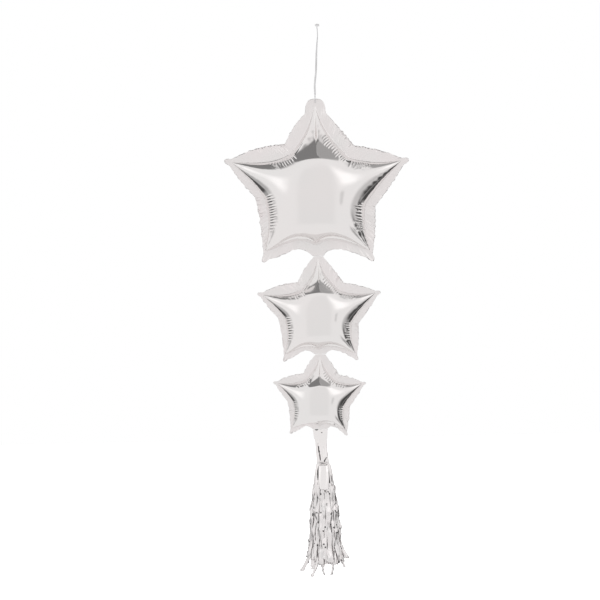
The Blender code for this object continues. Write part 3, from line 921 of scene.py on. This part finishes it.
def make_star(star, materials):
    upper_z, length = HOLE_Z + TAB_ABOVE_HOLE, TAB_LENGTH
    if star.upper_joint:
        upper_z, length = JOINT_Z[star.upper_joint] - FOLD_GAP / 2, NECK_LENGTH
    upper = (upper_z - star.centre_z, star.upper_width, length)
    lower_z = JOINT_Z[star.lower_joint] + FOLD_GAP / 2
    lower = (star.centre_z - lower_z, star.lower_width, 0.0)
    edges = seam_edges(star, upper[0])
    rim = rim_line(edges, star, upper, lower)
    for label, side in (("front", -1.0), ("back", 1.0)):
        name = f"{star.name}_{label}"
        mesh, full_faces = star_mesh(f"{name}_film", star, edges, rim, side)
        for number in range(full_faces, len(mesh.polygons)):
            mesh.polygons[number].material_index = 1
        still_near(mesh, side, lower_z, STILL_NECK)
        still_near(mesh, side, upper_z, STILL_NECK)
        if not star.upper_joint:
            still_near(mesh, side, HOLE_Z, STILL_TAB)
            punch_hole(mesh)
        add_piece(mesh, star.name, materials, f"{name}_foil", FILM, -1.0)


def smooth_route(points, count):
    """Evenly numbered points on a smooth curve through the given ones."""
    places = [Vector(p) for p in points]
    places = [places[0] * 2 - places[1]] + places + [places[-1] * 2 - places[-2]]
    spans = len(places) - 3
    found = []
    for position in even(count - 1, 0.0, spans):
        span = min(int(position), spans - 1)
        t = position - span
        a, b, c, d = places[span : span + 4]
        curve = 2 * b + (c - a) * t + (2 * a - 5 * b + 4 * c - d) * t * t
        curve += (3 * b - a - 3 * c + d) * t**3
        found.append(0.5 * curve)
    return found


def loft(name, bands, sharp=None, ring=False):
    """A smooth mesh of bands, each its rows of points and its faces with painted shade, as row and
    column, which take the second material.

    Rows that are rings have their ends closed. Edges sharper than sharp, in degrees, stay sharp.
    """
    points, faces, dark_faces = [], [], []
    for rows, dark in bands:
        first, count = len(points), len(rows[0])
        points += [tuple(point) for row in rows for point in row]
        for level in range(len(rows) - 1):
            for place in range(count if ring else count - 1):
                if (level, place) in dark:
                    dark_faces.append(len(faces))
                a = first + level * count + place
                b = first + level * count + (place + 1) % count
                faces.append((a, b, b + count, a + count))
    if ring:
        last = len(points) - count
        faces += [tuple(reversed(range(count))), tuple(range(last, last + count))]
    mesh = bpy.data.meshes.new(name)
    mesh.from_pydata(points, [], faces)
    mesh.validate()
    for number in dark_faces:
        mesh.polygons[number].material_index = 1
    mesh.shade_smooth()
    if sharp:
        mesh.set_sharp_from_angle(angle=radians(sharp))
    return mesh


def make_ribbon(satin):
    top = Vector((0.0, 0.0, RIBBON_TOP_Z))
    bottom = Vector((LINE_X, 0.0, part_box("hanging_ribbon")[0][2]))
    down = Vector((0.0, 0.0, -RIBBON_STUB))
    inner = smooth_route((top + down, *RIBBON_ROUTE, bottom - down), RIBBON_POINTS)
    route = [top, *inner, bottom]
    outline = [(u, 1.0) for u in RIBBON_SECTION] + [(u, -1.0) for u in reversed(RIBBON_SECTION)]
    rows = []
    for share, place in zip(even(len(route) - 1), route):
        wave = RIBBON_WAVE * sin(share * RIBBON_WAVE_RATE)
        turn = radians(RIBBON_START + RIBBON_TURN * share + wave)
        across = Vector((cos(turn), sin(turn), 0.0))
        outward = Vector((-sin(turn), cos(turn), 0.0))
        row = []
        for u, face in outline:
            out = RIBBON_CURL * (u * u - CURL_MEAN) + face * RIBBON_FILM / 2
            row.append(place + (across * (u * RIBBON_WIDTH / 2) + outward * out))
        rows.append(row)
    mesh = loft("hanging_ribbon_satin", [(rows, ())], sharp=50.0, ring=True)
    piece = add_piece(mesh, "ribbon", (satin,), "hanging_ribbon")


def dress_knots(satin):
    for name in ("ribbon_top_knot", "tie_loop"):
        bpy.data.objects[name].data.materials.clear()
        bpy.data.objects[name].data.materials.append(satin)


def make_tie_knot(satin):
    """The tight knot above the tab: two turns of ribbon drawn together."""
    low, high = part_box("tie_knot")
    x, y = ((low[axis] + high[axis]) / 2 for axis in (0, 1))
    rows = []
    for share in even(KNOT_LEVELS):
        swell = sin(pi * share) ** 0.5
        z = low[2] + (high[2] - low[2]) * share
        row = []
        for turn in even(KNOT_SIDES, 0.0, 2 * pi)[:-1]:
            wound = KNOT_WOUND * sin(4 * pi * share * KNOT_TURNS + turn)
            radius = KNOT_END + KNOT_SWELL * swell + wound * swell
            aside, out = radius * cos(turn), KNOT_FLATNESS * radius * sin(turn)
            row.append((x + aside, y + out, z))
        rows.append(row)
    mesh = loft("tie_knot_wound", [(rows, ())], ring=True)
    return add_piece(mesh, "tie", (satin,), "tie_knot")


def bundle_at(height):
    """Radius of the tassel's bundle at a height, and how far it hangs to the side of the column."""
    heights, *values = zip(*TASSEL_PROFILE)
    depths = [-z for z in heights]
    return [float(np.interp(-height, depths, value)) for value in values]


def strip_rows(draw, layer_share, start_z, tip_z, azimuth, width, stray=None):
    """Rows of points across one strip, from its upper end to its tip, and the faces beside its
    kinks that get painted shade.

    For a straying strip, stray is the height where it leaves the bundle, how far sideways it goes,
    and the direction that it faces.
    """
    line = np.array([LINE_X, 0.0, 0.0])
    length = start_z - tip_z
    steps = int(length / STRIP_STEP)
    depths = np.linspace(0.0, length, steps + 1)
    drift = draw.normal(0.0, STRIP_DRIFT)
    twist = draw.uniform(-STRIP_TWIST, STRIP_TWIST)
    slow = wavy(depths, int(draw.integers(1, 10**6)), *OUT_WAVES)
    swing = wavy(depths, int(draw.integers(1, 10**6)), *ROUND_WAVES)
    groove = draw.uniform(*GROOVE_PLACES)
    curve = draw.uniform(*STRIP_CURVES)
    kinks = draw.uniform(*KINK_PLACES, KINKS) * steps
    kink_size = draw.uniform(*KINK_HEIGHTS, KINKS) * draw.choice((-1.0, 1.0), KINKS)
    rows, dark = [], []
    for step, depth in enumerate(depths):
        share = depth / length
        z = start_z - depth
        bundle, aside = bundle_at(z)
        tucked = TUCKED + LET_OUT * smooth_step(0.0, TUCK_LENGTH, depth)
        radius = layer_share * bundle * tucked + slow[step]
        radius += FLARE * smooth_step(FLARE_FROM, 1.0, share) * layer_share
        near = np.abs(kinks - step)
        radius += float(np.sum(kink_size * np.clip(1.0 - near / KINK_HALF, 0.0, 1.0)))
        turn = radians(azimuth) + drift * share
        facing = (turn + twist * (share - 0.5) if stray is None else stray[2]) + swing[step]
        outward = np.array([sin(facing), -cos(facing), 0.0])
        across = np.array([cos(facing), sin(facing), 0.0])
        centre = np.array([radius * sin(turn) + aside, -radius * cos(turn), z])
        if stray is not None:
            gone = float(np.clip((stray[0] - z) / (stray[0] - tip_z), 0.0, 1.0))
            centre[0] += stray[1] * gone**STRAY_POWER
        crumpled = smooth_step(length - CUT_END, length, depth)
        half = width / 2 * (1.0 + CUT_WIDENING * crumpled)
        row = []
        for u in STRIP_SECTION:
            fold = -curve * u * u + GROOVE_HEIGHT * tent(u, groove, GROOVE_HALF)
            jitter = draw.normal(0.0, ROUGH_FILM + ROUGH_CUT * crumpled, 3)
            row.append(centre + across * (u * half) + outward * fold + jitter + line)
        rows.append(row)
        # Painted shade on one face beside a kink, standing in for the shade in the kink
        if step and np.min(near) < DARK_WITHIN and draw.uniform() < DARK_SHARE:
            dark.append((step - 1, int(draw.integers(0, len(STRIP_SECTION) - 1))))
    return rows, dark


def strand_rows():
    """The thin strand that stands out at the left of the bundle, without painted shade at kinks."""
    rows = [
        [(LINE_X + x, STRAND_Y + u * STRAND_HALF, z + u * STRAND_UP) for u in STRIP_SECTION]
        for x, z in STRAND
    ]
    return rows, ()


def make_strips(materials):
    for layer, seed, count, share, start_z, low_tip, high_tip in STRIP_LAYERS:
        draw = np.random.default_rng(seed)
        strips = []
        for number in range(count):
            azimuth = 360.0 * (number + draw.uniform(*STRIP_PLACES)) / count
            tip_z = draw.uniform(low_tip, high_tip)
            near = share * draw.uniform(*STRIP_RADII)
            width = STRIP_WIDTH * draw.uniform(*STRIP_WIDTHS)
            strips.append(strip_rows(draw, near, start_z, tip_z, azimuth, width))
        if layer == "outer":
            for azimuth, leaves_z, tip_z, sideways, width in STRAY_STRIPS:
                behind = turned_from(azimuth, 0.0) >= 90.0
                facing = copysign(STRAY_FACING, sideways) + (pi if behind else 0.0)
                stray = (leaves_z, sideways, facing)
                where = (STRAY_RADIUS, STRAY_START_Z, tip_z, azimuth)
                strips.append(strip_rows(draw, *where, width, stray))
            strips.append(strand_rows())
        mesh = loft(f"tassel_strips_{layer}", strips, sharp=24.0)
        replaced = f"tassel_fringe_{layer}"
        add_piece(mesh, "tassel", materials, replaced, STRIP_FILM)


def make_tail(materials):
    """The strap between the small star and the tassel, with its long folds."""
    top = JOINT_Z["tassel_fold"] - FOLD_GAP / 2
    bottom = TASSEL_TOP - TAIL_TUCK
    shares, *values = zip(*TAIL_SHAPE)
    height, middle, length = TOP_FOLD
    rows = []
    for share in even(TAIL_ROWS):
        half, aside = (float(np.interp(share, shares, value)) for value in values)
        deep = TAIL_FOLD_DEPTH * smooth_step(*TAIL_FOLDS_GROW, share)
        loose = TAIL_SLACK_HEIGHT * smooth_step(0.0, TAIL_SLACK_TO, share)
        turned = TURNED_HEIGHT * smooth_step(*TURNED_GROWS, share)
        top_fold = height * exp(-(((share - middle) / length) ** 2))
        row = []
        for u in even(TAIL_COLUMNS, -1.0):
            fold = sum(h * tent(u, start + move * share, w) for start, move, w, h in TAIL_FOLDS)
            slack = sum(w * sin(a * u + b * share + c) for w, a, b, c in TAIL_SLACK)
            y = deep * (fold - TAIL_FOLD_MEAN) + loose * slack
            y -= top_fold * cos(TOP_FOLD_RATE * u + TOP_FOLD_PHASE)
            y += turned * max(0.0, (u - TURNED_FROM) / (1.0 - TURNED_FROM)) ** 2
            row.append((LINE_X + aside + u * half, y, top + (bottom - top) * share))
        rows.append(row)
    mesh = loft("tassel_tail_strap", [(rows, TAIL_SHADED_FACES)], sharp=38.0)
    add_piece(mesh, "tassel", materials, "tassel_tail", FILM)


def gets_painted_shade(share, azimuth):
    """Whether a face of the head gets painted shade, standing in for a tight fold's shade, at a
    share of its height and a direction.
    """
    for middle, half, start, end in HEAD_FOLDS:
        if start < share < end:
            taper = sin(pi * ((share - start) / (end - start)))
            if turned_from(azimuth, middle) < half * (DARK_LEAST + DARK_MORE * taper):
                return True
    return False


def make_head(materials):
    """Gathered foil of the tassel's head: broad smooth panels between deep folds."""
    rows = []
    for share in even(HEAD_LEVELS):
        z = TASSEL_TOP + (HEAD_BOTTOM - TASSEL_TOP) * share
        bundle, aside = bundle_at(z)
        row = []
        for azimuth in even(HEAD_SIDES, 0.0, 360.0)[:-1]:
            radius = HEAD_RADIUS * bundle
            for middle, half, _, _ in HEAD_FOLDS:
                fold = tent(turned_from(azimuth, middle), 0.0, HEAD_FOLD_SPREAD * half)
                radius *= 1.0 - HEAD_FOLD_DEPTH * fold
            lobe = sin(radians(HEAD_LOBES * azimuth) + HEAD_LOBE_TWIST * share)
            radius *= 1.0 + HEAD_LOBE_HEIGHT * lobe
            turn = radians(azimuth)
            row.append((LINE_X + aside + radius * sin(turn), -radius * cos(turn), z))
        rows.append(row)
    # Faces in the tight part of each fold take the painted shade material
    dark = {
        (level, step)
        for level in range(HEAD_LEVELS)
        for step in range(HEAD_SIDES)
        if gets_painted_shade((level + 0.5) / HEAD_LEVELS, 360.0 * (step + 0.5) / HEAD_SIDES)
    }
    mesh = loft("tassel_head_gathers", [(rows, dark)], sharp=40.0, ring=True)
    add_piece(mesh, "tassel", materials, "tassel_head")


def make_wrap(film):
    """The smooth folded strap that comes down over the head in front and behind."""
    front = [(-1.0, share) for share in reversed(even(STRAP_ROWS))]
    back = [(1.0, share) for share in even(STRAP_ROWS)]
    rows = []
    for side, share in front + back:
        z = STRAP_TOP + (STRAP_BOTTOM - STRAP_TOP) * share
        bundle, aside = bundle_at(z)
        rounded = sqrt(1.0 - (1.0 - min(1.0, share / STRAP_ROUNDED)) ** 2)
        half = STRAP_HALF + STRAP_WAVE * sin(STRAP_WAVE_RATE * share + side)
        half *= STRAP_END_WIDTH + (1.0 - STRAP_END_WIDTH) * rounded
        reach = bundle * STRAP_STAND_OFF + STRAP_CLEARANCE
        reach *= STRAP_END_REACH + (1.0 - STRAP_END_REACH) * rounded
        row = []
        for u in even(STRAP_COLUMNS, -1.0):
            ripple = STRAP_RIPPLE * sin(RIPPLE_ACROSS * u + RIPPLE_ALONG * share)
            y = side * (reach - (STRAP_SAG * u * u + ripple))
            row.append((LINE_X + aside + u * half, y, z))
        rows.append(row)
    mesh = loft("tassel_head_strap", [(rows, ())])
    add_piece(mesh, "tassel", (film,), "tassel_wrap", FILM)


# Studio


def add_camera():
    data = bpy.data.cameras.new("camera")
    data.sensor_width = SENSOR_MM
    data.lens = SENSOR_MM * CAMERA_DISTANCE / (METRES_PER_PIXEL * FRAME_PIXELS)
    camera = placed("camera", data)
    place = Matrix.Translation((FRAME_CENTRE_X, -CAMERA_DISTANCE, FRAME_CENTRE_Z))
    roll = Matrix.Rotation(radians(COLUMN_LEAN), 4, "Y")
    level = Matrix.Rotation(radians(90.0), 4, "X")
    camera.matrix_world = place @ roll @ level
    bpy.context.scene.camera = camera


def make_floor():
    """A plain white floor, which the film doesn't mirror."""
    mesh = bpy.data.meshes.new("floor")
    half = FLOOR_SIDE / 2
    corners = ((-half, -half), (half, -half), (half, half), (-half, half))
    mesh.from_pydata([(*corner, FLOOR_Z) for corner in corners], [], [(0, 1, 2, 3)])
    floor = placed("floor", mesh)
    material, tree, shader = new_material("white_floor")
    white = {"Base Color": (0.9, 0.9, 0.9, 1.0), "Roughness": 0.9}
    feed(tree, shader, {**white, "Emission Color": (1.0, 1.0, 1.0, 1.0), "Emission Strength": 1.0})
    mesh.materials.append(material)
    floor.visible_glossy = False


def calc(tree, operation, *values):
    """The output of a sum on sockets and plain numbers."""
    node = add_node(tree, "Math")
    node.operation = operation
    return feed(tree, node, dict(enumerate(values))).outputs[0]


def mixed(tree, share, first, last):
    """First where share is 0, last where it is 1."""
    kept = calc(tree, "MULTIPLY", first, calc(tree, "SUBTRACT", 1.0, share))
    return calc(tree, "ADD", kept, calc(tree, "MULTIPLY", share, last))


def between(tree, value, low, high, soft):
    """1 where value lies between low and high, falling to 0 over soft on each side."""
    found = []
    for start, end in ((low - soft, low + soft), (high + soft, high - soft)):
        node = add_node(tree, "MapRange", Value=value, From_Min=start, From_Max=end)
        node.interpolation_type = "SMOOTHSTEP"
        found.append(node.outputs["Result"])
    return calc(tree, "MULTIPLY", *found)


def make_room():
    """A plain white background to look at, and a room of bright and dark patches to mirror."""
    world = bpy.data.worlds.new("studio")
    bpy.context.scene.world = world
    world.use_nodes = True
    tree = world.node_tree
    tree.nodes.clear()
    towards = add_node(tree, "TexCoord").outputs["Generated"]
    x, y, z = add_node(tree, "SeparateXYZ", Vector=towards).outputs
    turn = calc(tree, "ARCTAN2", x, calc(tree, "MULTIPLY", y, -1.0))
    azimuth = calc(tree, "MULTIPLY", turn, 180 / pi)
    elevation = calc(tree, "MULTIPLY", calc(tree, "ARCSINE", z), 180 / pi)
    level = ROOM_LEVEL
    for left, right, low, high, soft, brightness in ROOM:
        across = between(tree, azimuth, left, right, soft)
        up = between(tree, elevation, low, high, soft)
        level = mixed(tree, calc(tree, "MULTIPLY", across, up), level, brightness)
    rays = add_node(tree, "LightPath").outputs
    again = calc(tree, "GREATER_THAN", rays["Ray Depth"], SECOND_BOUNCE)
    strength = mixed(tree, again, level, SECOND_MIRROR)
    mirrored = add_node(tree, "Background", Color=ROOM_TINT, Strength=strength)
    plain = add_node(tree, "Background", Color=(1.0, 1.0, 1.0, 1.0))
    mix = add_node(tree, "MixShader")
    feed(tree, mix, {0: rays["Is Camera Ray"], 1: mirrored.outputs[0], 2: plain.outputs[0]})
    add_node(tree, "OutputWorld", Surface=mix.outputs[0])


def main():
    bpy.context.scene.view_settings.view_transform = "Standard"
    add_camera()
    make_room()
    film, bright_film, rim_film, foil = (make_foil(name) for name in FOILS)
    satin = ribbon_satin()
    knot = make_tie_knot(satin)
    make_ribbon(satin)
    dress_knots(satin)
    for star in STARS:
        make_star(star, (film, rim_film))
    # crease is the painted shade material: near-black foil on the tight creases and kinks of the
    # tail, head and strips
    crease = fold_shadow()
    # The tail and head straps take the film painted lighter, as painted light
    make_tail((bright_film, crease))
    make_head((foil, crease))
    make_wrap(bright_film)
    make_strips((foil, crease))
    make_floor()


main()
